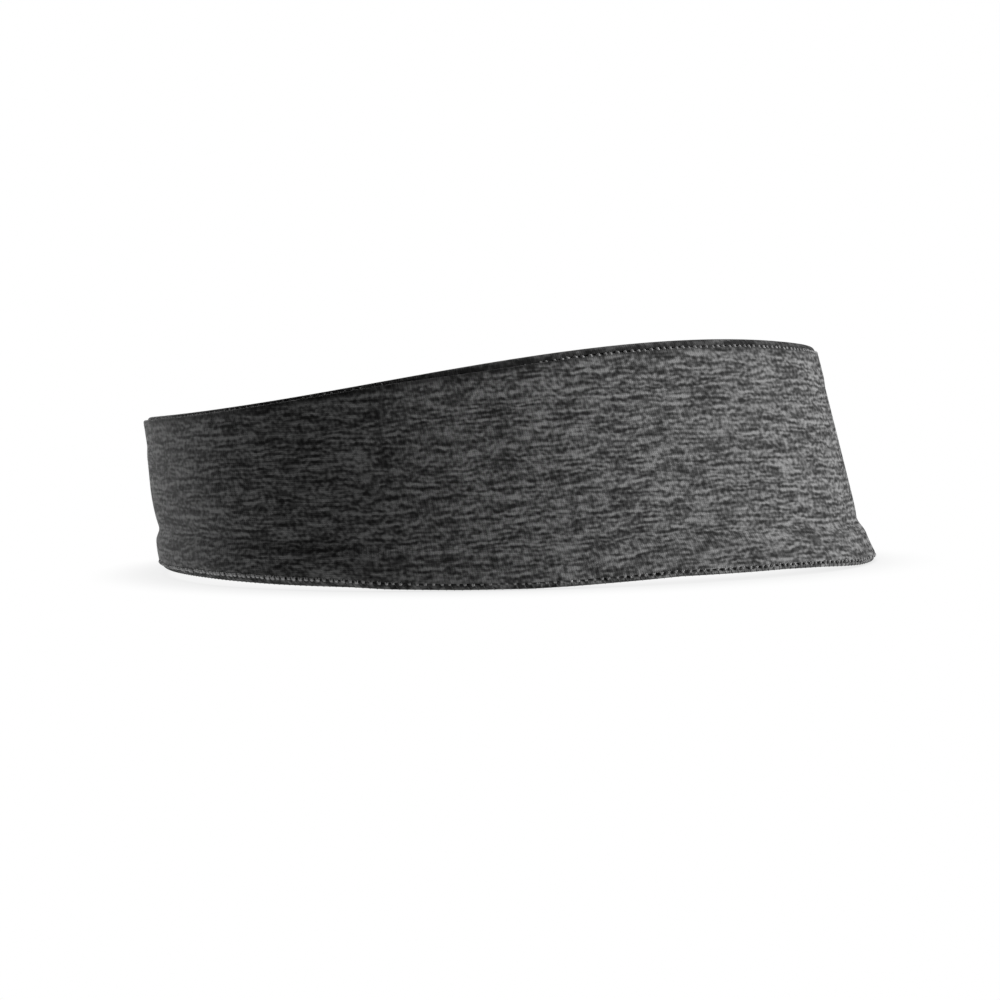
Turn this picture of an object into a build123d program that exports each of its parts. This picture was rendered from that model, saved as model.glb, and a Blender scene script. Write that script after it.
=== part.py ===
"""A two-ply stretch-jersey sports headband, in the shape it takes on a head.

The band stands on its lower edge. +X points to the forehead, +Z up, and the origin is the centre of
the lower opening. Lengths are millimetres.

Two jersey strips, a shell and a lining, are each closed into a loop by a flat seam at the back of the
head. Along both edges they are overlocked face to face and turned right side out, so that their seam
allowances lie inside the band. The lining rolls over the edge to the outside, and the needle thread
shows in the groove below that roll.
"""

from build123d import *
import os
from math import cos, sin, radians, degrees, pi

# Band, on the side that touches the head
HALF_LENGTH = 93.6  # half of the lower opening, front to back
WIDTH_RATIO = 0.81  # width of the opening over its length
EGG = 0.12  # how much narrower the forehead is than the back of the head
LEAN = 0.188  # how far the opening moves backwards for each millimetre of height
TAPER = 0.05  # how much half of the length shrinks for each millimetre of height
BACK_HEIGHT = 41.5
REAR_SIDE_HEIGHT = 48.0  # a third of the half length behind the middle
FRONT_SIDE_HEIGHT = 56.6  # the same distance ahead of the middle
FRONT_HEIGHT = 57.4

# Cloth
PLY = 0.7  # thickness of the jersey
GAP = 0.06  # air between two plies that lie together
ALLOWANCE = 6.5  # from the edge of the band to the raw edges turned inside it
ROLL_RADIUS = 0.82  # centre of the lining, where it rolls over the edge of the band
REST_FLAT = 0.05  # how far the roll is pressed flat where the band rests on its lower edge
SHELL_FOLD_HEIGHT = 2.6  # centre of the shell's fold, from the edge of the band
FLARE_END = 7.4  # where the shell starts to come back in, once it has cleared the raw edges
FLARE_BLEND = 4.4  # the height over which it comes in
TOP_DRAW = 1.2  # how far the upper edge's stitches draw the band in, down to where the flare ends
BACK_SEAM_GAP = 0.3  # between the two ends of a strip

# Thread
NEEDLE_RADIUS = 0.18
NEEDLE_SIDES = 8
NEEDLE_DEPTH = 2.55  # centre of the needle thread, in the groove between the roll and the shell's fold
NEEDLE_HEIGHT = 1.62
LOOPER_THICKNESS = 0.3
FLAT_SEAM_WIDTH = 5.0  # across the two ends of a strip
FLAT_SEAM_THICKNESS = 0.3
FLAT_SEAM_GAP = 0.1  # from that thread to the cloth
LINING_SEAM_START = 3.7  # from either edge of the band to the lining's flat seam

# Care label, a blank folded ribbon caught in the lining's back seam
LABEL_THICKNESS = 0.4
LABEL_CLEARANCE = 0.65  # from the lining to the label
LABEL_FIRST_ANGLE = 0.6  # degrees round from the back seam
LABEL_WIDTH = 12.0
LABEL_BOTTOM = 9.5
LABEL_TOP = 29.5

LINING_DEPTH = PLY / 2
LINING_TURNED_DEPTH = LINING_DEPTH + PLY + GAP
SHELL_BODY_DEPTH = LINING_TURNED_DEPTH
SHELL_TURNED_DEPTH = LINING_TURNED_DEPTH + PLY + GAP
SHELL_FLARED_DEPTH = SHELL_TURNED_DEPTH + PLY + GAP

BACK_ANGLE = 180.0  # degrees round from the forehead
DEGREES_PER_MM = degrees(1 / (HALF_LENGTH * WIDTH_RATIO))  # along the band at the back of the head
STRIP_END = BACK_ANGLE - BACK_SEAM_GAP / 2 * DEGREES_PER_MM
BAND_STATIONS = 37
SEAM_STATIONS = 3
LABEL_STATIONS = 5


# ---- the band's surface ------------------------------------------------------------------------


def spread(first, last, count):
    """Evenly spaced values, the first and the last included."""
    return [first + (last - first) * i / (count - 1) for i in range(count)]


def edge_height(forward):
    """Height of the upper edge, as a cubic through the four named heights; forward runs from -1 to 1."""
    named = ((-1, BACK_HEIGHT), (-1 / 3, REAR_SIDE_HEIGHT), (1 / 3, FRONT_SIDE_HEIGHT), (1, FRONT_HEIGHT))
    height = 0.0
    for place, value in named:
        for other, _ in named:
            if other != place:
                value *= (forward - other) / (place - other)
        height += value
    return height


def head_point(angle, height):
    """The point of the head-side surface at an angle from the forehead, in degrees, and a height."""
    turn = radians(angle)
    half_length = HALF_LENGTH - TAPER * height
    x = half_length * cos(turn) - LEAN * height
    y = half_length * WIDTH_RATIO * sin(turn) * (1 - EGG * cos(turn))
    return Vector(x, y, height)


def station(angle):
    """The foot of the wall at an angle, its level direction outward, its direction upward, and its length."""
    foot = head_point(angle, 0)
    wall = head_point(angle, edge_height(cos(radians(angle)))) - foot
    step = 0.01
    along = head_point(angle + step, 0) - head_point(angle - step, 0)
    outward = along.cross(Vector(0, 0, 1)).normalized()
    return foot, outward, wall.normalized(), wall.length


def band_point(angle, depth, height):
    """The point at a depth outward of the head and a height up the wall, with the upper edge drawn in."""
    foot, outward, upward, length = station(angle)
    blend = (length - height - FLARE_END) / FLARE_BLEND
    drawn_in = TOP_DRAW * (1 + cos(pi * min(max(blend, 0), 1))) / 2
    return foot + outward * (depth - drawn_in) + upward * height


def section(angle, outline):
    """A closed face across the band at an angle; outline(length) gives its (depth, height) corners."""
    length = station(angle)[3]
    corners = [band_point(angle, depth, height) for depth, height in outline(length)]
    return Face(Wire.make_polygon(corners, close=True))


def run_round(outline, first, last, count):
    """The solid that an outline makes as it runs round the band between two angles."""
    return loft([section(angle, outline) for angle in spread(first, last, count)])


def run_strip(outline):
    """An outline run round the whole band, as a strip whose two ends nearly meet at the back."""
    return run_round(outline, -STRIP_END, STRIP_END, BAND_STATIONS)


# ---- outlines across the band ------------------------------------------------------------------


def arc(depth, height, radius, start, end, count=6):
    """Points of an arc, from one angle to another in degrees, measured from the outward direction."""
    angles = [radians(angle) for angle in spread(start, end, count)]
    return [(depth + radius * cos(a), height + radius * sin(a)) for a in angles]


def both_edges(lower, length):
    """A path that starts at the lower edge's raw edge, and ends at the upper edge's."""
    return lower + [(depth, length - height) for depth, height in reversed(lower)]


def ribbon(path, thickness):
    """The closed outline of a strip of even thickness along a path."""
    points = [Vector(*p) for p in path]
    left, right = [], []
    for i, point in enumerate(points):
        before = (point - points[i - 1]).normalized() if i else None
        after = (points[i + 1] - point).normalized() if i + 1 < len(points) else None
        before, after = before or after, after or before
        normal = Vector(-(before + after).Y, (before + after).X).normalized()
        reach = thickness / 2 / normal.dot(Vector(-after.Y, after.X))
        left.append(point + normal * reach)
        right.append(point - normal * reach)
    return [(p.X, p.Y) for p in left + right[::-1]]


def ease_out(first_depth, last_depth, count=6):
    """A path up past the seam zone, which comes in from one depth to another."""
    reach = first_depth - last_depth
    steps = spread(0, 1, count)
    return [(first_depth - reach * (1 - cos(pi * s)) / 2, FLARE_END + FLARE_BLEND * s) for s in steps]


def shell_path(length):
    """Up from the raw edge's fold, outside the turned allowances, and flat between the two seams."""
    fold_radius = (SHELL_FLARED_DEPTH - SHELL_TURNED_DEPTH) / 2
    fold = arc(SHELL_TURNED_DEPTH + fold_radius, SHELL_FOLD_HEIGHT, fold_radius, 180, 360)
    flare = ease_out(SHELL_FLARED_DEPTH, SHELL_BODY_DEPTH)
    return both_edges([(SHELL_TURNED_DEPTH, ALLOWANCE)] + fold + flare, length)


def lining_path(length):
    """From the raw edge through the seam, round the rolled edge of the band, and up the head side."""
    roll_depth = LINING_DEPTH + ROLL_RADIUS
    roll_height = ROLL_RADIUS + PLY / 2 - REST_FLAT
    neck_radius = (roll_depth + ROLL_RADIUS - LINING_TURNED_DEPTH) / 2
    neck_depth = LINING_TURNED_DEPTH + neck_radius
    lower = [(LINING_TURNED_DEPTH, ALLOWANCE)]
    lower += arc(neck_depth, roll_height + 2 * neck_radius, neck_radius, 180, 270)
    lower += arc(neck_depth, roll_height, neck_radius, 90, 0)[1:]
    lower += arc(roll_depth, roll_height, ROLL_RADIUS, 0, -180, 10)[1:]
    return both_edges(lower + ease_out(LINING_DEPTH, LINING_DEPTH), length)


def shell_seam_path(length):
    """Over the outer face of the shell, from one groove to the other."""
    lift = PLY / 2 + FLAT_SEAM_GAP + FLAT_SEAM_THICKNESS / 2
    flare = ease_out(SHELL_FLARED_DEPTH + lift, SHELL_BODY_DEPTH + lift)
    return both_edges([(SHELL_FLARED_DEPTH + lift, SHELL_FOLD_HEIGHT)] + flare, length)


def lining_seam_path(length):
    """Over the lining, on the side of the head."""
    depth = -FLAT_SEAM_GAP - FLAT_SEAM_THICKNESS / 2
    return both_edges([(depth, LINING_SEAM_START)] + ease_out(depth, depth), length)


def rectangle(first_depth, last_depth, first_height, last_height):
    """A rectangle across the band; a height under zero is measured down from the upper edge."""

    def outline(length):
        low, high = [h if h >= 0 else length + h for h in (first_height, last_height)]
        return [(first_depth, low), (last_depth, low), (last_depth, high), (first_depth, high)]

    return outline


# ---- the pieces --------------------------------------------------------------------------------


def shell():
    """The outer strip, with its allowances folded in along both edges."""
    return run_strip(lambda length: ribbon(shell_path(length), PLY))


def lining():
    """The inner strip, pressed flat where the band rests on its lower edge."""
    strip = run_strip(lambda length: ribbon(lining_path(length), PLY))
    return split(strip, bisect_by=Plane.XY, keep=Keep.TOP)


def needle_thread(upper):
    """The thread that lies in one edge's groove."""
    points = []
    for angle in spread(-STRIP_END, STRIP_END, BAND_STATIONS):
        height = station(angle)[3] - NEEDLE_HEIGHT if upper else NEEDLE_HEIGHT
        points.append(band_point(angle, NEEDLE_DEPTH, height))
    path = Spline(*points)
    return sweep(Plane(path @ 0, z_dir=path % 0) * RegularPolygon(NEEDLE_RADIUS, NEEDLE_SIDES), path=path)


def looper_thread(upper):
    """The thread across one edge's two raw edges, inside the band."""
    near = ALLOWANCE + GAP
    far = near + LOOPER_THICKNESS
    heights = (-far, -near) if upper else (near, far)
    return run_strip(rectangle(LINING_TURNED_DEPTH - PLY / 2, SHELL_TURNED_DEPTH + PLY / 2, *heights))


def flat_seam(path):
    """Thread along a path that covers a strip's two ends, at the back of the head."""
    half_angle = FLAT_SEAM_WIDTH / 2 * DEGREES_PER_MM
    first, last = BACK_ANGLE - half_angle, BACK_ANGLE + half_angle
    return run_round(lambda length: ribbon(path(length), FLAT_SEAM_THICKNESS), first, last, SEAM_STATIONS)


def care_label():
    """The label lies along the lining, from the back seam towards the wearer's right side."""
    first = BACK_ANGLE + LABEL_FIRST_ANGLE
    last = first + LABEL_WIDTH * DEGREES_PER_MM
    near = -LABEL_CLEARANCE
    outline = rectangle(near - LABEL_THICKNESS, near, LABEL_BOTTOM, LABEL_TOP)
    return run_round(outline, first, last, LABEL_STATIONS)


pieces = {
    "shell": shell(),
    "lining": lining(),
    "top_needle_thread": needle_thread(upper=True),
    "bottom_needle_thread": needle_thread(upper=False),
    "top_looper_thread": looper_thread(upper=True),
    "bottom_looper_thread": looper_thread(upper=False),
    "shell_back_seam_thread": flat_seam(shell_seam_path),
    "lining_back_seam_thread": flat_seam(lining_seam_path),
    "care_label": care_label(),
}

os.makedirs("parts", exist_ok=True)
for name, piece in pieces.items():
    export_step(piece, f"parts/{name}.step")
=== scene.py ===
"""Looks for the sports headband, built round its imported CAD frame.

The jersey strips, the stitches, the flat seams and the care label are each modelled here, on the same
wall as the CAD. Lengths are millimetres until a mesh is made, which is in metres.
"""

import math

import bmesh
import bpy
import numpy as np
from mathutils import Euler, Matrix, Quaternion, Vector

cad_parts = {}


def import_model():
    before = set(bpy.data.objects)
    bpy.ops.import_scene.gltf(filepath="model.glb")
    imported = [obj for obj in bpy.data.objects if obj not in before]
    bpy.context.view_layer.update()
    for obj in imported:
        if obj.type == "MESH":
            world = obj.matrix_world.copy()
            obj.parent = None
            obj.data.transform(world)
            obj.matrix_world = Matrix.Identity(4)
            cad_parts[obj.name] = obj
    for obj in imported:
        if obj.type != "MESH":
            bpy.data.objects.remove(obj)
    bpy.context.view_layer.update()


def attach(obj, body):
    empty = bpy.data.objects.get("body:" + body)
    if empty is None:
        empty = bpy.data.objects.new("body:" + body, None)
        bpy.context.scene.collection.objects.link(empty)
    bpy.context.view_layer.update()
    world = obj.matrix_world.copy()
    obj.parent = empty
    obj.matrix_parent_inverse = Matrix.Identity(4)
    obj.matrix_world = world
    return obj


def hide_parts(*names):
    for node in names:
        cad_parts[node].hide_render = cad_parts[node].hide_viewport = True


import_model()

MM = 0.001

# The band's wall, on the side that touches the head
HALF_LENGTH = 93.6
WIDTH_RATIO = 0.81
EGG = 0.12
LEAN = 0.188
TAPER = 0.05
EDGE_HEIGHTS = (41.5, 48.0, 56.6, 57.4)  # of the upper edge, evenly spaced from the back to the forehead

# Cloth
PLY = 0.7
GAP = 0.06
ALLOWANCE = 6.5
FLARE_END = 7.4
FLARE_BLEND = 4.4
BACK_SEAM_GAP = 0.02
TIGHT_ROLL = 0.38  # centre of the lining where it folds over flat, with no roll
FULL_ROLL = 0.82
TIGHT_FOLD_HEIGHT = 1.45  # centre of the shell's fold, from the edge, above a tight roll
FULL_FOLD_HEIGHT = 2.6
TOP_ROLL = 0.96  # of a full roll, at the forehead
TOP_ROLL_BACK = 0.06
BOTTOM_ROLL = 0.75
STATION_STEP = 1.06  # along the band
STITCH_PITCH = 1.85
SEAM_HALF_WIDTH = 2.4
SEAM_PITCH = 1.5
SEAM_OVER = 0.08  # from the shell to the middle of its seam's thread
LINING_SEAM_OVER = 0.07
STITCH_RADIUS = 0.22
LOOPER_RADIUS = 0.1
LOOPER_MIDDLE = 1.49  # depth of the raw edges that the looper thread crosses
LOOPER_REACH = 0.62
TWIST_PITCH = 0.6
SEAM_THREAD_RADIUS = 0.14
GROOVE_DROP = 0.86  # from the shell's fold to the middle of the groove
BURIED_UPPER = 1.45  # depth of a stitch that is lost in the upper groove
BURIED_LOWER = 2.0
STANDING_OUT = 2.8  # depth of one that shows
LABEL_BOTTOM = 9.5
LABEL_TOP = 29.5
LABEL_REACH = 12.2
LABEL_PLY = 0.16

# How the soft band strays from its even shape
TOP_DRAW = 1.2  # inward, where the edge's stitches draw the upper edge in
LOWER_WAVE = (  # how far forward, as a cosine, and how far off the plane
    (-1.0, -0.82, -0.61, -0.42, -0.33, -0.15, 0.03, 0.13, 0.31, 0.41, 0.7, 0.81, 0.93, 1.0),
    (1.75, 1.56, 1.0, 0.75, 0.3, 0.0, 0.0, 0.3, 1.05, 1.5, 1.5, 1.1, 0.1, 0.0),
)

# Knit, and the painted shade and light on the shell and the lining
COURSE = 0.5  # height of one row of loops
WALE = 0.55  # width of one loop
STREAK_HEIGHT = 0.92  # of one colour of yarn, which spans a row or two
LONG_STREAKS = 0.35  # how much longer the streaks are where the cloth is stretched, at both ends of the head
ROW_RISE = 0.45  # how fast the knitted rows rise towards the forehead, as a share of the upper edge
PAINTED_EDGE_LIGHT_AND_SHADE = 0.62  # how strongly the colour is darkened as painted shade beside the upper groove, and lightened as painted light on the lower roll
# painted shade: the lining's colour is darkened all over, standing in for the shade on its roll over the
# upper edge
LINING_PAINTED_SHADE = 0.55

# Colours, as linear grey
DARK_YARN = 0.018
DIM_YARN = 0.084
MIDDLE_YARN = 0.172
LIGHT_YARN = 0.33
NEEDLE_THREAD = 0.42
LOOPER_THREAD = 0.2
LABEL_SATIN = 0.76

# Stage
FLOOR_SIZE = 12.0
FLOOR_LEVEL = -0.0002
CONTACT_SHADE = 0.3
FLOOR_BOUNCE = 0.32  # light off the floor, for everything but the camera
AMBIENT = 0.02
LIGHTS = (  # name, direction, distance, side, power
    ("key", (0.975, -0.22, 0.25), 1.2, 0.4, 13.7),
    ("left", (-0.86, 0.5, 0.0), 1.2, 0.4, 8.5),
    ("behind", (-0.3, 1.0, 0.35), 1.3, 0.8, 9),
)
LIGHT_AIM = (0, 0, 0.03)
CAMERA_PLACE = (-0.00165, -0.540, 0.0432)
CAMERA_LENS = 71.2
CAMERA_SHIFT = -0.0106
CAMERA_PITCH = -2.75  # degrees
CAMERA_ROLL = -0.95


# ---- the wall that every piece is laid on ------------------------------------------------------


def head_points(angle, height):
    """Points of the head-side surface, at angles round from the forehead in radians."""
    half_length = HALF_LENGTH - TAPER * height
    x = half_length * np.cos(angle) - LEAN * height
    y = half_length * WIDTH_RATIO * np.sin(angle) * (1 - EGG * np.cos(angle))
    return np.stack([x, y, height + 0 * angle], axis=-1)


def unit(vectors):
    return vectors / np.linalg.norm(vectors, axis=-1, keepdims=True)


def wall(angle):
    """The wall's foot, its level direction outward, its direction upward and its length, at each angle."""
    foot = head_points(angle, 0 * angle)
    law = np.polyfit(np.linspace(-1, 1, 4), EDGE_HEIGHTS, 3)
    rise = head_points(angle, np.polyval(law, np.cos(angle))) - foot
    step = 1e-4
    along = head_points(angle + step, 0 * angle) - head_points(angle - step, 0 * angle)
    outward = unit(np.cross(along, (0, 0, 1)))
    return foot, outward, unit(rise), np.linalg.norm(rise, axis=-1)


def bump(value, middle, width):
    """A smooth bump, 1 at its middle."""
    return np.exp(-(((value - middle) / width) ** 2))


def sway(angle, height, length):
    """How far the soft wall stands out of its even curve, at a height."""
    forward = np.cos(angle)
    below_top = np.clip((length - height - FLARE_END) / FLARE_BLEND, 0, 1)
    drawn_in = (TOP_DRAW + 0.35 * (1 - forward)) * (1 + np.cos(math.pi * below_top)) / 2
    kicked_out = (0.4 + 0.7 * forward) * bump(height, 0, 4) - 0.4 * bump(height, 9.5, 3.5)
    bowed = 0.35 * (1 - forward) * bump(height, 20, 9)
    share = height / length
    slow = 0.16 * np.sin(5 * angle + 0.9 + 1.1 * share) * np.sin(2.4 * share + 0.5)
    quick = 0.08 * np.sin(13 * angle + 2.0 - 2.2 * share)
    return kicked_out + bowed - drawn_in + slow + quick


def lift(angle, share):
    """How far the wall is raised where the lower edge waves off its plane. It fades out up the wall."""
    return np.interp(np.cos(angle), *LOWER_WAVE) * (1 - share) ** 2


def laid(angle, depth, height):
    """Points in metres at a depth outward of the head and a height up the wall, on the soft wall."""
    foot, outward, upward, length = wall(angle)
    depth = depth + sway(angle, height, length)
    height = height + lift(angle, np.clip(height / length, 0, 1))
    return (foot + outward * depth[..., None] + upward * height[..., None]) * MM


BACK = math.pi
PER_MM = 1 / (HALF_LENGTH * WIDTH_RATIO)  # radians along the band at the back of the head
STRIP_END = BACK - BACK_SEAM_GAP / 2 * PER_MM
THREAD_END = STRIP_END - 0.01


def even_angles(first, last, step):
    """Angles a step apart along the band, and how far along the band each one is."""
    fine = np.linspace(first, last, 4001)
    foot = head_points(fine, np.full_like(fine, 20.0))
    along = np.concatenate([[0], np.cumsum(np.linalg.norm(np.diff(foot, axis=0), axis=1))])
    places = np.linspace(0, along[-1], max(2, round(along[-1] / step) + 1))
    return np.interp(places, along, fine), places


# ---- outlines across the band ------------------------------------------------------------------


def arc(depth, height, radius, start, end, count):
    """Points of an arc, in degrees from the outward direction. Depth, height and radius are arrays."""
    turn = np.radians(np.linspace(start, end, count))
    return np.stack([depth[:, None] + radius[:, None] * np.cos(turn),
                     height[:, None] + radius[:, None] * np.sin(turn)], axis=-1)


def line(*corners, step=1.5):
    """Points no more than a step apart along a line of corners, each a pair of arrays."""
    corners = [np.stack(np.broadcast_arrays(*c), axis=-1) for c in corners]
    parts = []
    for a, b in zip(corners, corners[1:]):
        count = max(1, int(np.ceil(np.linalg.norm(b - a, axis=-1).max() / step)))
        t = (np.arange(count) / count)[None, :, None]
        parts.append(a[:, None] + (b - a)[:, None] * t)
    parts.append(corners[-1][:, None])
    return np.concatenate(parts, axis=1)


def mirrored(path, length):
    """A path measured from the lower edge, as the same path from the upper edge, in reverse."""
    flipped = path[:, ::-1].copy()
    flipped[..., 1] = length[:, None] - flipped[..., 1]
    return flipped


def top_roll(angle):
    """How fully the lining rolls over the upper edge, which is nearly flat at the back."""
    forward = np.cos(angle)
    return TOP_ROLL_BACK + (TOP_ROLL - TOP_ROLL_BACK) / (1 + np.exp(-(forward + 0.12) * 14))


def bottom_roll(angle):
    """How fully the lining rolls over the lower edge, most of all towards the nape."""
    return BOTTOM_ROLL + 0.45 * bump(np.cos(angle), -0.65, 0.3)


def roll_radius(roll):
    """The radius of the lining's roll, to the middle of the cloth."""
    return TIGHT_ROLL + (FULL_ROLL - TIGHT_ROLL) * roll


def fold_height(roll):
    """The centre of the shell's fold, above the edge."""
    return TIGHT_FOLD_HEIGHT + (FULL_FOLD_HEIGHT - TIGHT_FOLD_HEIGHT) * roll


def shell_edge(roll):
    """The shell near one edge, from its raw edge round its fold to where it lies flat on the lining."""
    ones = np.ones_like(roll)
    turned = PLY / 2 + 2 * (PLY + GAP)
    flared = turned + PLY + GAP
    fold = (PLY + GAP) / 2
    folded_at = fold_height(roll)
    s = np.linspace(0, 1, 12)[None, :]
    reach = flared - (PLY / 2 + PLY + GAP)
    eased = np.stack([flared - reach * (1 - np.cos(math.pi * s)) / 2 * ones[:, None],
                      (FLARE_END + FLARE_BLEND * s) * ones[:, None]], axis=-1)
    return np.concatenate([
        line((turned * ones, ALLOWANCE * ones), (turned * ones, folded_at))[:, :-1],
        arc((turned + fold) * ones, folded_at, fold * ones, 180, 360, 9),
        line((flared * ones, folded_at), (flared * ones, FLARE_END * ones))[:, 1:-1],
        eased,
    ], axis=1)


def lining_edge(roll):
    """The lining near one edge, from its raw edge over the roll to the side of the head."""
    ones = np.ones_like(roll)
    radius = roll_radius(roll)
    turned = PLY / 2 + PLY + GAP
    depth = PLY / 2 + radius
    height = radius + PLY / 2
    neck = (depth + radius - turned) / 2
    return np.concatenate([
        line((turned * ones, ALLOWANCE * ones), (turned * ones, height + 2 * neck))[:, :-1],
        arc(turned + neck, height + 2 * neck, neck, 180, 270, 6),
        arc(turned + neck, height, neck, 90, 0, 6)[:, 1:],
        arc(depth, height, radius, 0, -180, 15)[:, 1:],
    ], axis=1)


def joined(lower, upper, length):
    """One path from the lower raw edge to the upper one."""
    above = mirrored(upper, length)
    between = line((lower[:, -1, 0], lower[:, -1, 1]), (above[:, 0, 0], above[:, 0, 1]))
    return np.concatenate([lower, between[:, 1:-1], above], axis=1)


def sides(path, thickness):
    """The two sides of a strip of even thickness along each path."""
    steps = np.diff(path, axis=1)
    steps = np.concatenate([steps[:, :1], (steps[:, 1:] + steps[:, :-1]) / 2, steps[:, -1:]], axis=1)
    steps = np.where(np.linalg.norm(steps, axis=-1, keepdims=True) > 1e-9, steps, (0, 1))
    normal = unit(np.stack([-steps[..., 1], steps[..., 0]], axis=-1))
    return path - normal * thickness / 2, path + normal * thickness / 2


# ---- meshes ------------------------------------------------------------------------------------


def make_object(name, points, faces, material, body, replaced, corners=None):
    """A smooth mesh piece that rides on a body. corners says where each face corner lies in the baked map."""
    mesh = bpy.data.meshes.new(name)
    mesh.from_pydata([tuple(p) for p in points], [], faces)
    if corners is not None:
        mesh.uv_layers.new(name="OFBake").data.foreach_set("uv", np.asarray(corners, np.float32).ravel())
    tidy = bmesh.new()
    tidy.from_mesh(mesh)
    bmesh.ops.recalc_face_normals(tidy, faces=tidy.faces)
    tidy.to_mesh(mesh)
    tidy.free()
    for polygon in mesh.polygons:
        polygon.use_smooth = True
    mesh.materials.append(material)
    piece = bpy.data.objects.new(name, mesh)
    bpy.context.scene.collection.objects.link(piece)
    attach(piece, body)
    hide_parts(*replaced)
    return piece


def name_points(piece, attribute, values):
    """Stores a vector for each of a piece's points, for its material to read."""
    layer = piece.data.attributes.new(attribute, "FLOAT_VECTOR", "POINT")
    layer.data.foreach_set("vector", np.asarray(values, np.float32).ravel())


def painted_edge_light_and_shade(loop, angles, length):
    """Painted shade on the cloth by the upper groove and, under 0, painted light on the lower roll, strongest
    at the forehead and the nape.
    """
    outside = loop[..., 0] > 1.0
    from_top = length[:, None] - loop[..., 1]
    # painted shade just below the upper edge, where the groove lies
    painted_groove_shade = np.clip((from_top - 0.3) / 0.9, 0, 1) * np.clip((2.9 - from_top) / 0.7, 0, 1)
    # painted light on the lower roll, strongest at the forehead and the nape
    painted_roll_light = np.clip((1.9 - loop[..., 1]) / 0.5, 0, 1) * (1 + 1.2 * np.abs(np.cos(angles)))[:, None]
    return outside * (painted_groove_shade - painted_roll_light)


MAP_STRIPS = 3
MAP_MARGIN = 0.004
SEEN_SHARE = 0.91  # of the map, for the side of a strip that is seen
HIDDEN_START = 0.92
TURNED_IN = ALLOWANCE - FULL_FOLD_HEIGHT  # length at each raw edge that hardly shows
TURNED_IN_SHARE = 0.25


def map_rows(run):
    """How far up its part of the map each row of a strip lies, from the rows' lengths along the cloth."""
    middles = (run[1:] + run[:-1]) / 2
    inner = (middles > TURNED_IN) & (middles < run[-1] - TURNED_IN)
    reach = np.concatenate([[0], np.cumsum(np.diff(run) * np.where(inner, 1, TURNED_IN_SHARE))])
    reach /= reach[-1]
    seen, hidden = SEEN_SHARE * reach, HIDDEN_START + (1 - HIDDEN_START) * reach
    return np.concatenate([seen, hidden[::-1]])


def strip_faces(stations, rows):
    """Faces of a strip of cloth, and each face corner's place in the baked map."""
    around = len(rows)
    half = around // 2
    per_strip = math.ceil((stations - 1) / MAP_STRIPS)
    faces, corners = [], []
    for i in range(stations - 1):
        strip, place = divmod(i, per_strip)
        u0, u1 = [MAP_MARGIN + (1 - 2 * MAP_MARGIN) * p / per_strip for p in (place, place + 1)]
        for j in range(around):
            k = (j + 1) % around
            faces.append((i * around + j, i * around + k, (i + 1) * around + k, (i + 1) * around + j))
            ends = (j, j) if j in (half - 1, around - 1) else (j, k)
            v0, v1 = [(strip + MAP_MARGIN + (1 - 2 * MAP_MARGIN) * rows[e]) / MAP_STRIPS for e in ends]
            corners += [(u0, v0), (u0, v1), (u1, v1), (u1, v0)]
    for end in (0, (stations - 1) * around):
        for j in range(half - 1):
            faces.append((end + j, end + j + 1, end + around - 2 - j, end + around - 1 - j))
            corners += [(0, 0)] * 4
    return faces, corners


def streak_places(angles, along):
    """Places along the band, closer together where the cloth's streaks are longer."""
    pace = 1 - LONG_STREAKS * np.cos(angles) ** 2
    return np.concatenate([[0], np.cumsum(np.diff(along) * (pace[1:] + pace[:-1]) / 2)])


def jersey_strip(node, path, angles, along, material):
    """A strip of cloth with real thickness, in place of a CAD node, from a path for each station."""
    first_side, second_side = sides(path, PLY)
    loop = np.concatenate([first_side, second_side[:, ::-1]], axis=1)
    stations, around = loop.shape[:2]
    turn = np.repeat(angles[:, None], around, axis=1)
    points = laid(turn, loop[..., 0], loop[..., 1]).reshape(-1, 3)
    steps = np.linalg.norm(np.diff(path, axis=1), axis=-1)
    run = np.cumsum(np.pad(steps, ((0, 0), (1, 0))), axis=1)
    faces, corners = strip_faces(stations, map_rows(run[stations // 2]))
    piece = make_object(node + "_cloth", points, faces, material, "band", [node], corners)
    length = wall(angles)[3]
    run = run - ROW_RISE * length[:, None]
    up_cloth = np.concatenate([run, run[:, ::-1]], axis=1)
    along_cloth = np.repeat(streak_places(angles, along)[:, None], around, axis=1)
    # painted shade by the upper groove and painted light on the lower roll, kept as the cloth attribute's
    # third value
    shade = painted_edge_light_and_shade(loop, angles, length)
    name_points(piece, "cloth", np.stack([along_cloth, up_cloth, shade], axis=-1))


def thread_mesh(curves, radius, sides_count=6, painted_highlights=None):
    """Points and faces of threads along curves, with each point's length along, turn and painted highlight.

    The last argument gives each thread's painted highlight: how much lighter its colour is painted than a
    buried one's, and how much thicker it is made.
    """
    points, faces, lengths = [], [], []
    for number, curve in enumerate(curves):
        painted_highlight = 0 if painted_highlights is None else painted_highlights[number]
        thickness = radius * (1 + 0.4 * painted_highlight)
        curve = np.asarray(curve)
        start = len(points)
        tangent = unit(np.gradient(curve, axis=0))
        side = unit(np.cross(tangent, (0.13, 0.21, 0.97)))
        other = np.cross(tangent, side)
        run = np.concatenate([[0], np.cumsum(np.linalg.norm(np.diff(curve, axis=0), axis=1))])
        for p, a, b, r in zip(curve, side, other, run):
            for k in range(sides_count):
                turn = 2 * math.pi * k / sides_count
                points.append(p + (a * math.cos(turn) + b * math.sin(turn)) * thickness)
                lengths.append((r, k / sides_count, painted_highlight))
        for i in range(len(curve) - 1):
            for k in range(sides_count):
                m = (k + 1) % sides_count
                a, b = start + i * sides_count, start + (i + 1) * sides_count
                faces.append((a + k, a + m, b + m, b + k))
        faces.append(tuple(range(start, start + sides_count))[::-1])
        last = start + (len(curve) - 1) * sides_count
        faces.append(tuple(range(last, last + sides_count)))
    return points, faces, lengths


# ---- materials ---------------------------------------------------------------------------------


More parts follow.
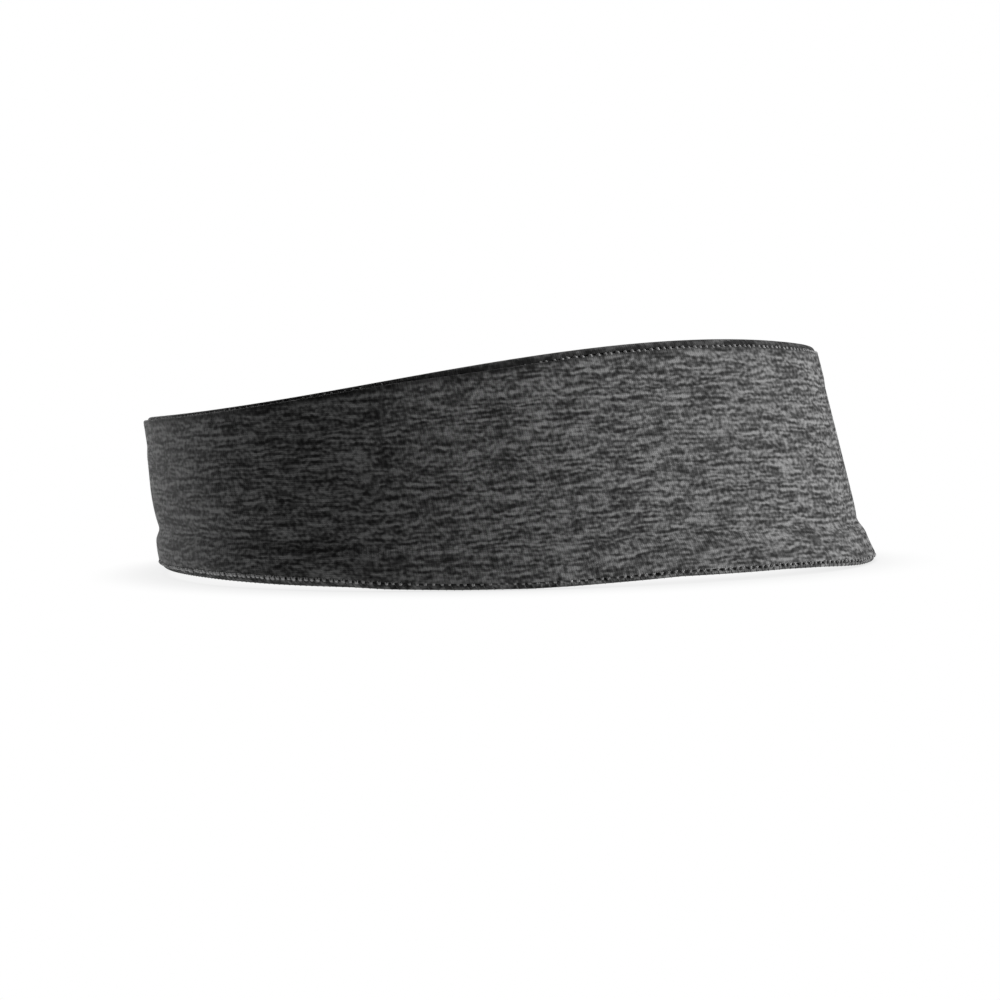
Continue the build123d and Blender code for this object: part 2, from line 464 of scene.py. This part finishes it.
class Graph:
    """A material's nodes, added by short calls. An input may be a number, a tuple or a node's output."""

    def __init__(self, name):
        self.material = bpy.data.materials.new(name)
        self.material.use_nodes = True
        self.tree = self.material.node_tree
        self.tree.nodes.clear()

    def add(self, kind, inputs=None, **settings):
        node = self.tree.nodes.new("ShaderNode" + kind)
        for key, value in settings.items():
            setattr(node, key, value)
        for key, value in (inputs or {}).items():
            if isinstance(value, bpy.types.NodeSocket):
                self.tree.links.new(value, node.inputs[key])
            else:
                node.inputs[key].default_value = value
        return node

    def math(self, operation, a, b=0.0):
        return self.add("Math", {0: a, 1: b}, operation=operation).outputs[0]

    def noise(self, vector, scale, seed=0, detail=2.0):
        """Noise from 0 to 1 over a vector scaled by three factors. Each whole seed gives other noise."""
        offset = (3.37 * seed, 1.61 * seed, seed)
        place = self.add("VectorMath", {0: vector, 1: scale, 2: offset}, operation="MULTIPLY_ADD").outputs[0]
        return self.add("TexNoise", {"Vector": place, "Scale": 1.0, "Detail": detail}).outputs[0]

    def ramp(self, value, *stops):
        """A grey ramp through (place, grey) stops."""
        node = self.add("ValToRGB", {0: value})
        while len(node.color_ramp.elements) < len(stops):
            node.color_ramp.elements.new(0.5)
        for element, (place, grey) in zip(node.color_ramp.elements, stops):
            element.position = place
            element.color = (grey, grey, grey, 1)
        return node.outputs[0]

    def finish(self, colour, roughness, height, distance, sheen):
        """A cloth surface with a bump of the given height, in metres."""
        bump = self.add("Bump", {"Height": height, "Strength": 1.0, "Distance": distance})
        shader = self.add("BsdfPrincipled", {
            "Base Color": colour, "Roughness": roughness, "Normal": bump.outputs[0],
            "Sheen Weight": sheen, "Sheen Roughness": 0.5, "Specular IOR Level": 0.25})
        self.add("OutputMaterial", {"Surface": shader.outputs[0]})
        return self.material


def jersey(name, darker=1.0, seed=0):
    """Heathered jersey: knitted from yarns that change between black and grey along their length."""
    g = Graph(name)
    cloth = g.add("SeparateXYZ", {0: g.add("Attribute", attribute_name="cloth").outputs["Vector"]})
    flat = g.add("CombineXYZ", {0: cloth.outputs[0], 1: cloth.outputs[1]}).outputs[0]
    slow = g.math("MULTIPLY", g.math("SUBTRACT", g.noise(flat, (0.1, 0.14, 0), seed, 1), 0.5), 1.3)
    quick = g.math("MULTIPLY", g.math("SUBTRACT", g.noise(flat, (0.4, 0.3, 0), seed + 1, 1), 0.5), 0.5)
    wander = g.add("CombineXYZ", {1: g.math("ADD", slow, quick)}).outputs[0]
    mm = g.add("VectorMath", {0: flat, 1: wander}, operation="ADD").outputs[0]
    fine = 1 / STREAK_HEIGHT
    parts = (
        (g.noise(mm, (1 / 9.0, fine, 0), seed + 2, 0), 0.75),
        (g.noise(mm, (1 / 2.6, fine * 1.1, 0), seed + 3, 0), 0.75),
        (g.noise(mm, (1 / 0.9, fine, 0), seed + 4, 0), 0.75),
        (g.noise(mm, (1 / 12.0, 1 / 3.5, 0), seed + 5, 2), 0.5),
        (g.noise(mm, (1 / 0.5, 1 / 0.35, 0), seed + 6, 1), 0.25),
    )
    value = 0.5
    for part, weight in parts:
        value = g.math("ADD", value, g.math("MULTIPLY", g.math("SUBTRACT", part, 0.5), weight))
    stops = ((0.16, DARK_YARN), (0.42, DIM_YARN), (0.58, MIDDLE_YARN), (0.86, LIGHT_YARN))
    # darker scales the yarns' greys; on the lining it is painted shade
    colour = g.ramp(value, *[(place, grey * darker) for place, grey in stops])
    # The cloth attribute's third value darkens the colour as painted shade by the upper groove, and lightens
    # it as painted light on the lower roll
    shade = g.math("SUBTRACT", 1.0, g.math("MULTIPLY", cloth.outputs[2], PAINTED_EDGE_LIGHT_AND_SHADE))
    colour = g.add("VectorMath", {0: colour, 1: shade}, operation="MULTIPLY").outputs[0]
    split = g.add("SeparateXYZ", {0: mm})
    rows = g.math("DIVIDE", split.outputs[1], COURSE)
    across = g.math("SUBTRACT", g.math("FRACT", rows), 0.5)
    lean = g.math("MULTIPLY", g.math("ABSOLUTE", across), 0.8)
    loops = g.math("ADD", g.math("DIVIDE", split.outputs[0], WALE), lean)
    legs = g.math("SINE", g.math("MULTIPLY", loops, 2 * math.pi))
    yarn = g.math("COSINE", g.math("MULTIPLY", across, math.pi))
    height = g.math("ADD", g.math("MULTIPLY", yarn, 0.8), g.math("MULTIPLY", legs, 0.3))
    height = g.math("ADD", height, parts[-1][0])
    roughness = g.ramp(parts[-1][0], (0.3, 0.78), (0.7, 0.95))
    return g.finish(colour, roughness, height, 0.00007, 0.15)


def thread(name, grey):
    """Spun thread, with a twist along it."""
    g = Graph(name)
    run = g.add("Attribute", attribute_name="run").outputs["Vector"]
    split = g.add("SeparateXYZ", {0: run})
    turns = g.math("ADD", g.math("DIVIDE", split.outputs[0], TWIST_PITCH * MM), split.outputs[1])
    twist = g.math("SINE", g.math("MULTIPLY", turns, 2 * math.pi))
    geometry = g.add("TexCoord").outputs["Object"]
    fluff = g.noise(geometry, (900, 900, 900), detail=3)
    value = g.math("ADD", g.math("MULTIPLY", twist, 0.12), fluff)
    colour = g.ramp(value, (0.25, grey * 0.5), (0.5, grey * 0.85), (0.75, grey * 1.2))
    # the run's third value lightens the thread's colour as a painted highlight
    painted_highlights = g.math("ADD", 1.0, split.outputs[2])
    colour = g.add("VectorMath", {0: colour, 1: painted_highlights}, operation="MULTIPLY").outputs[0]
    roughness = g.ramp(fluff, (0.3, 0.6), (0.7, 0.85))
    return g.finish(colour, roughness, g.math("ADD", twist, fluff), 0.00004, 0.1)


def satin(name, grey):
    """Satin ribbon: fine floats of yarn, a little worn."""
    g = Graph(name)
    mm = g.add("Attribute", attribute_name="cloth").outputs["Vector"]
    split = g.add("SeparateXYZ", {0: mm})
    weave = g.math("SINE", g.math("MULTIPLY", split.outputs[1], 2 * math.pi / 0.25))
    weft = g.math("SINE", g.math("MULTIPLY", split.outputs[0], 2 * math.pi / 0.4))
    worn = g.noise(mm, (0.3, 0.3, 1), detail=3)
    value = g.math("ADD", g.math("MULTIPLY", g.math("MULTIPLY", weave, weft), 0.08), worn)
    colour = g.ramp(value, (0.25, grey * 0.8), (0.75, grey))
    roughness = g.ramp(worn, (0.3, 0.32), (0.7, 0.48))
    return g.finish(colour, roughness, g.math("MULTIPLY", weave, weft), 0.00003, 0.15)


shell_jersey = jersey("shell_jersey")
# the lining's colour darkened all over as painted shade
lining_jersey = jersey("lining_jersey", darker=LINING_PAINTED_SHADE, seed=20)
needle_thread = thread("needle_thread", NEEDLE_THREAD)
looper_thread = thread("looper_thread", LOOPER_THREAD)
seam_thread = thread("seam_thread", LOOPER_THREAD)
label_satin = satin("label_satin", LABEL_SATIN)


# ---- jersey strips -----------------------------------------------------------------------------

strip_angles, strip_along = even_angles(-STRIP_END, STRIP_END, STATION_STEP)
strip_length = wall(strip_angles)[3]
lower_roll = bottom_roll(strip_angles)
upper_roll = top_roll(strip_angles)

for node, edge, material in (("shell", shell_edge, shell_jersey), ("lining", lining_edge, lining_jersey)):
    path = joined(edge(lower_roll), edge(upper_roll), strip_length)
    jersey_strip(node, path, strip_angles, strip_along, material)


# ---- edge stitches -----------------------------------------------------------------------------


def visible(angle, upper):
    """How far an edge's stitches stand out of the groove, from 0, buried, to 1."""
    forward = np.cos(angle)
    if upper:
        return 1 / (1 + np.exp(-(forward - 0.2) * 16))
    return 1 - 0.75 * bump(forward, 0, 0.3)


def painted_stitch_highlight(angle, upper):
    """Painted highlight on an edge's stitches, which also makes them longer, thicker and further out. Only
    the lower ones get it, towards the nape.
    """
    return 0 if upper else 0.95 * bump(np.cos(angle), -0.7, 0.35)


def stitch_angles(upper):
    """Where an edge's stitches are. The lower ones crowd together towards the nape."""
    angles, _ = even_angles(-THREAD_END, THREAD_END, STITCH_PITCH / 8)
    crowding = 1 + (0 if upper else 0.3) * bump(np.cos(angles), -0.7, 0.3)
    count = np.cumsum(crowding) / 8
    return np.interp(np.arange(0.5, count[-1]), count, angles)


# The strands of one stitch, as their ends along the band and up from the middle of the groove
TOP_STRANDS = (((-0.42, -0.10), (0.30, 0.0)), ((-0.30, 0.22), (0.42, 0.32)))
BOTTOM_STRANDS = (((-0.36, 0.34), (-0.12, -0.34)), ((0.20, 0.36), (0.02, -0.32)))


def edge_stitches(name, upper, replaced, seed):
    """The needle thread's stitches, each a pair of short strands that rise out of the groove."""
    random = np.random.default_rng(seed)
    angles = stitch_angles(upper)
    angles = angles + random.normal(0, 0.12, len(angles)) * PER_MM
    t = np.linspace(0, 1, 7)
    curves, painted_highlights = [], []
    for angle in angles:
        wall_length = wall(angle)[3]
        roll = top_roll(angle) if upper else bottom_roll(angle)
        middle = fold_height(roll) - GROOVE_DROP + random.normal(0, 0.05)
        buried = BURIED_UPPER if upper else BURIED_LOWER
        proud = buried + (STANDING_OUT - buried) * visible(angle, upper) + random.normal(0, 0.06)
        # painted highlight on the stitches towards the nape
        painted_highlight = painted_stitch_highlight(angle, upper)
        size = random.uniform(0.65, 1.1) * (1 + 0.25 * painted_highlight)
        for start, end in TOP_STRANDS if upper else BOTTOM_STRANDS:
            beside = size * (start[0] + (end[0] - start[0]) * t)
            height = middle + size * (start[1] + (end[1] - start[1]) * t)
            depth = proud - 0.3 * (2 * t - 1) ** 2
            if upper:
                height = wall_length - height
            curves.append(laid(angle + beside * PER_MM, depth + 0.35 * painted_highlight, height))
            painted_highlights.append(painted_highlight)
    points, faces, run = thread_mesh(curves, STITCH_RADIUS * MM, painted_highlights=painted_highlights)
    piece = make_object(name, points, faces, needle_thread, "band", replaced)
    name_points(piece, "run", run)


edge_stitches("top_needle_stitches", True, ["top_needle_thread"], 11)
edge_stitches("bottom_needle_stitches", False, ["bottom_needle_thread"], 12)


def roll_strands():
    """Where the looper thread comes out over the lower roll, below each stitch."""
    t = np.linspace(0, 1, 8)
    turn = np.radians(35 - 105 * t)
    strands = []
    for angle in stitch_angles(False):
        radius = roll_radius(bottom_roll(angle))
        over = radius + PLY / 2 + 0.04
        depth = PLY / 2 + radius + over * np.cos(turn)
        height = PLY / 2 + radius + over * np.sin(turn)
        strands.append(laid(angle + (0.75 * t - 0.1) * PER_MM, depth, height))
    return strands


def edge_loops(name, upper, replaced):
    """The looper thread's zigzag over one edge's raw edges, inside the band."""
    angles, _ = even_angles(-THREAD_END, THREAD_END, STITCH_PITCH / 8)
    phase = np.arange(len(angles)) / 8 * 2 * math.pi
    depth = LOOPER_MIDDLE + LOOPER_REACH * np.sin(phase)
    height = ALLOWANCE + 0.3 - 0.12 * np.cos(2 * phase)
    if upper:
        height = wall(angles)[3] - height
    curves = [laid(angles, depth, height)]
    if not upper:
        curves += roll_strands()
    points, faces, run = thread_mesh(curves, LOOPER_RADIUS * MM, 5)
    piece = make_object(name, points, faces, looper_thread, "band", replaced)
    name_points(piece, "run", run)


edge_loops("top_looper_loops", True, ["top_looper_thread"])
edge_loops("bottom_looper_loops", False, ["bottom_looper_thread"])


# ---- flat seams at the back --------------------------------------------------------------------


def seam_threads(surface, low, high):
    """Cover stitches up the back seam, over a surface that gives its depth at a height."""
    curves = []
    count = int((high - low) / SEAM_PITCH * 16)
    height = np.linspace(low, high, count)
    phase = (height - low) / SEAM_PITCH * 2 * math.pi
    for lead in (0.0, math.pi):
        beside = SEAM_HALF_WIDTH * np.clip(1.25 * np.sin(phase + lead), -1, 1)
        depth = surface(height) + 0.05 * np.cos(phase + lead)
        curves.append(laid(BACK + beside * PER_MM, depth, height))
    for beside in (-SEAM_HALF_WIDTH, 0.0, SEAM_HALF_WIDTH):
        for start in np.arange(low, high - SEAM_PITCH, SEAM_PITCH):
            t = np.linspace(0, 1, 7)
            rise = start + SEAM_PITCH * (0.06 + 0.88 * t)
            depth = surface(rise) + np.sign(surface(rise)) * (0.09 * np.sin(math.pi * t) - 0.03)
            curves.append(laid(BACK + np.full(7, beside) * PER_MM, depth, rise))
    return curves


def shell_surface(height):
    """Depth of the thread's centre over the shell's outer face at the back."""
    length = wall(np.array([BACK]))[3][0]
    near = np.minimum(height, length - height)
    s = np.clip((near - FLARE_END) / FLARE_BLEND, 0, 1)
    flared = PLY + 3 * (PLY + GAP) + SEAM_OVER
    return flared - (PLY + GAP) * (1 - np.cos(math.pi * s))


def lining_surface(height):
    """Depth of the thread's centre over the lining, on the side of the head."""
    return np.full_like(height, -LINING_SEAM_OVER)


def back_seam(name, surface, low, high, replaced):
    points, faces, run = thread_mesh(seam_threads(surface, low, high), SEAM_THREAD_RADIUS * MM)
    piece = make_object(name, points, faces, seam_thread, "band", replaced)
    name_points(piece, "run", run)


back_length = wall(np.array([BACK]))[3][0]
back_seam("shell_back_seam", shell_surface, 3.2, back_length - 1.6, ["shell_back_seam_thread"])
back_seam("lining_back_seam", lining_surface, 2.6, back_length - 1.8, ["lining_back_seam_thread"])


# ---- care label --------------------------------------------------------------------------------


def care_label():
    """A ribbon folded in half, with its fold at the free end and both cut ends in the seam."""
    out = np.linspace(0.7, LABEL_REACH - 0.22, 25)
    bend = np.radians(np.linspace(-90, 90, 9))[1:-1]
    reach = np.concatenate([out, out[-1] + 0.2 * np.cos(bend), out[::-1]])
    apart = 0.1 + 0.1 * np.clip(out / LABEL_REACH, 0, 1) ** 2
    offset = np.concatenate([apart, 0.2 * np.sin(-bend), -apart[::-1]])
    middle = -0.62 - 0.25 * (reach / LABEL_REACH) ** 3
    levels = np.linspace(LABEL_BOTTOM, LABEL_TOP, 21)
    points, cloth, faces = [], [], []
    run = np.concatenate([[0], np.cumsum(np.hypot(np.diff(reach), np.diff(offset)))])
    for side in (LABEL_PLY / 2, -LABEL_PLY / 2):
        for level in levels:
            share = (level - LABEL_BOTTOM) / (LABEL_TOP - LABEL_BOTTOM)
            curl = 0.12 * np.sin(share * 2 * math.pi + reach / 3) * reach / LABEL_REACH
            steps = np.stack([np.gradient(reach), np.gradient(offset)], axis=-1)
            normal = unit(np.stack([-steps[:, 1], steps[:, 0]], axis=-1))
            beside = reach + normal[:, 0] * side
            depth = middle + offset + normal[:, 1] * side + curl
            points += list(laid(BACK + beside * PER_MM, depth, np.full_like(beside, level)))
            cloth += [(r, level, 0) for r in run]
    width, tall = len(reach), len(levels)
    sheet = width * tall
    for base in (0, sheet):
        for i in range(tall - 1):
            for j in range(width - 1):
                a = base + i * width + j
                faces.append((a, a + 1, a + width + 1, a + width))
    rim = list(range(width)) + [i * width + width - 1 for i in range(1, tall)]
    rim += [(tall - 1) * width + j for j in range(width - 2, -1, -1)]
    rim += [i * width for i in range(tall - 2, 0, -1)]
    for a, b in zip(rim, rim[1:] + rim[:1]):
        faces.append((a, b, b + sheet, a + sheet))
    piece = make_object(
        "care_label_ribbon", points, faces, label_satin, "label", ["care_label"])
    name_points(piece, "cloth", cloth)


care_label()


# ---- stage, lights and camera ------------------------------------------------------------------


def floor_material():
    """A white floor with a faint shade where the band rests."""
    g = Graph("floor")
    camera_ray = g.add("LightPath").outputs["Is Camera Ray"]
    open_air = g.add("AmbientOcclusion", {"Distance": 0.02}).outputs["AO"]
    white = g.math("ADD", 1 - CONTACT_SHADE, g.math("MULTIPLY", open_air, CONTACT_SHADE))
    seen = g.add("Emission", {"Strength": white}).outputs[0]
    bounce = g.add("Emission", {"Strength": FLOOR_BOUNCE}).outputs[0]
    both = g.add("MixShader", {0: camera_ray, 1: bounce, 2: seen})
    g.add("OutputMaterial", {"Surface": both.outputs[0]})
    return g.material


def floor():
    half = FLOOR_SIZE / 2
    mesh = bpy.data.meshes.new("floor")
    corners = [(-half, -half), (half, -half), (half, half), (-half, half)]
    mesh.from_pydata([(x, y, FLOOR_LEVEL) for x, y in corners], [], [(0, 1, 2, 3)])
    mesh.materials.append(floor_material())
    stage = bpy.data.objects.new("floor", mesh)
    bpy.context.scene.collection.objects.link(stage)


def world():
    """White to the camera, and a dim grey to everything else."""
    bpy.context.scene.world = bpy.data.worlds.new("studio")
    bpy.context.scene.world.use_nodes = True
    tree = bpy.context.scene.world.node_tree
    tree.nodes.clear()
    path = tree.nodes.new("ShaderNodeLightPath")
    seen, dim = tree.nodes.new("ShaderNodeBackground"), tree.nodes.new("ShaderNodeBackground")
    seen.inputs[1].default_value = 1.0
    dim.inputs[1].default_value = AMBIENT
    for background in (seen, dim):
        background.inputs[0].default_value = (1, 1, 1, 1)
    mix = tree.nodes.new("ShaderNodeMixShader")
    out = tree.nodes.new("ShaderNodeOutputWorld")
    tree.links.new(path.outputs["Is Camera Ray"], mix.inputs[0])
    tree.links.new(dim.outputs[0], mix.inputs[1])
    tree.links.new(seen.outputs[0], mix.inputs[2])
    tree.links.new(mix.outputs[0], out.inputs[0])


def area_light(name, towards, distance, size, power):
    """A soft square light that looks back at the object."""
    data = bpy.data.lights.new(name, "AREA")
    data.size = size
    data.energy = power
    lamp = bpy.data.objects.new(name, data)
    direction = unit(np.array(towards, float))
    lamp.location = np.array(LIGHT_AIM) + direction * distance
    lamp.rotation_euler = Vector(direction).to_track_quat("Z", "Y").to_euler()
    lamp.visible_camera = False
    bpy.context.scene.collection.objects.link(lamp)


def camera():
    data = bpy.data.cameras.new("camera")
    data.lens = CAMERA_LENS
    data.sensor_width = 36
    data.shift_x = CAMERA_SHIFT
    view = bpy.data.objects.new("camera", data)
    view.rotation_mode = "QUATERNION"
    view.location = CAMERA_PLACE
    pitch = Euler((math.radians(90 + CAMERA_PITCH), 0, 0)).to_quaternion()
    roll = Quaternion((0, 0, 1), math.radians(CAMERA_ROLL))
    view.rotation_quaternion = pitch @ roll
    bpy.context.scene.collection.objects.link(view)
    bpy.context.scene.camera = view


floor()
world()
for light in LIGHTS:
    area_light(*light)
camera()
bpy.context.scene.view_settings.view_transform = "Standard"
